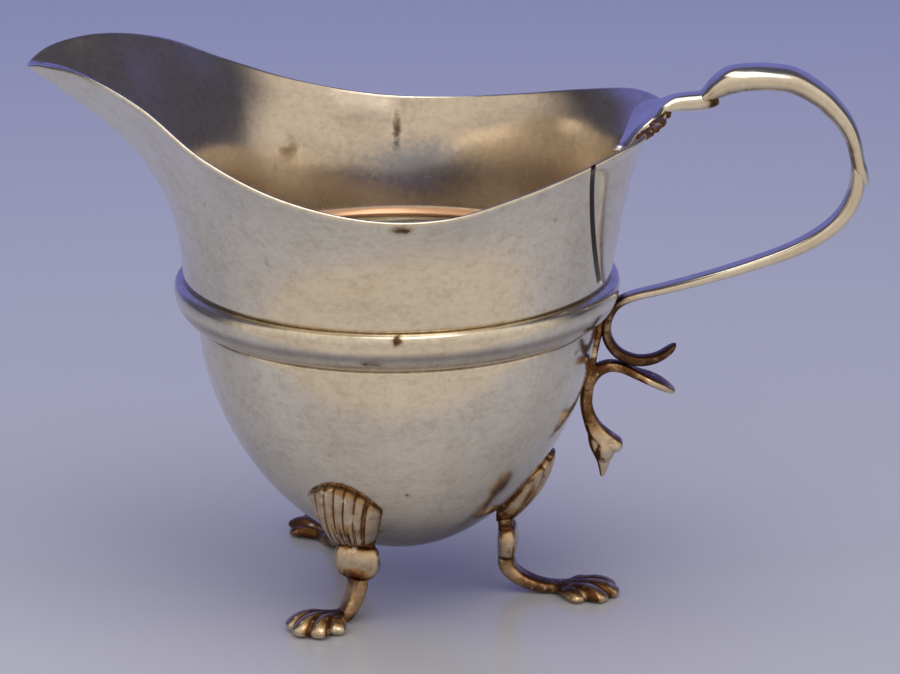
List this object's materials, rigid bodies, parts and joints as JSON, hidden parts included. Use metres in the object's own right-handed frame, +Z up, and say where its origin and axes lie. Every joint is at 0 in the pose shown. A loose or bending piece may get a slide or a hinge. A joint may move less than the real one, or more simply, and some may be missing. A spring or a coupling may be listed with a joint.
{
  "type": "footed silver cream jug",
  "caption": "Small helmet-form silver cream jug with a broad flared lip, half-round girdle, leaf-and-scroll strap handle and shell-topped paw legs.",
  "frame": {"origin": "on the table under the jug, half way between the lip's tip and the thorn at the handle's outer side, and half way across the mouth", "axes": "+Z is up. +X runs from the lip (-X) to the handle (+X) and is the jug's greatest length; +Y runs across the mouth. The vessel's own axis stands at x = +9.25 mm before the shift, that is x = -9.25 mm here"},
  "size_m": [0.1385, 0.0826, 0.0936],
  "materials": {
    "bowl_silver": "polished, lightly tarnished and scratched",
    "band_silver": "polished, darker in its joints",
    "wall_silver": "polished outside, golden-brown tarnish inside",
    "handle_silver": "polished, worn bright along its edges",
    "bracket_silver": "polished casting with brown tarnish",
    "shell_silver": "polished flutes with dark brown grooves",
    "leg_silver": "golden-brown tarnish, bright where it is rubbed",
    "paw_silver": "bright toes with brown tarnish between them"
  },
  "bodies": {
    "root": {"lower_bowl": "bowl_silver", "girdle_band": "band_silver", "upper_wall": "wall_silver", "handle_leaf": "handle_silver", "handle_upper_scroll": "handle_silver", "handle_lower_scroll": "handle_silver", "handle_bracket": "bracket_silver", "leg_back_shell": "shell_silver", "leg_back_knop": "leg_silver", "leg_back_shank": "leg_silver", "leg_back_paw": "paw_silver", "leg_left_shell": "shell_silver", "leg_left_knop": "leg_silver", "leg_left_shank": "leg_silver", "leg_left_paw": "paw_silver", "leg_right_shell": "shell_silver", "leg_right_knop": "leg_silver", "leg_right_shank": "leg_silver", "leg_right_paw": "paw_silver"}
  },
  "joints": []
}
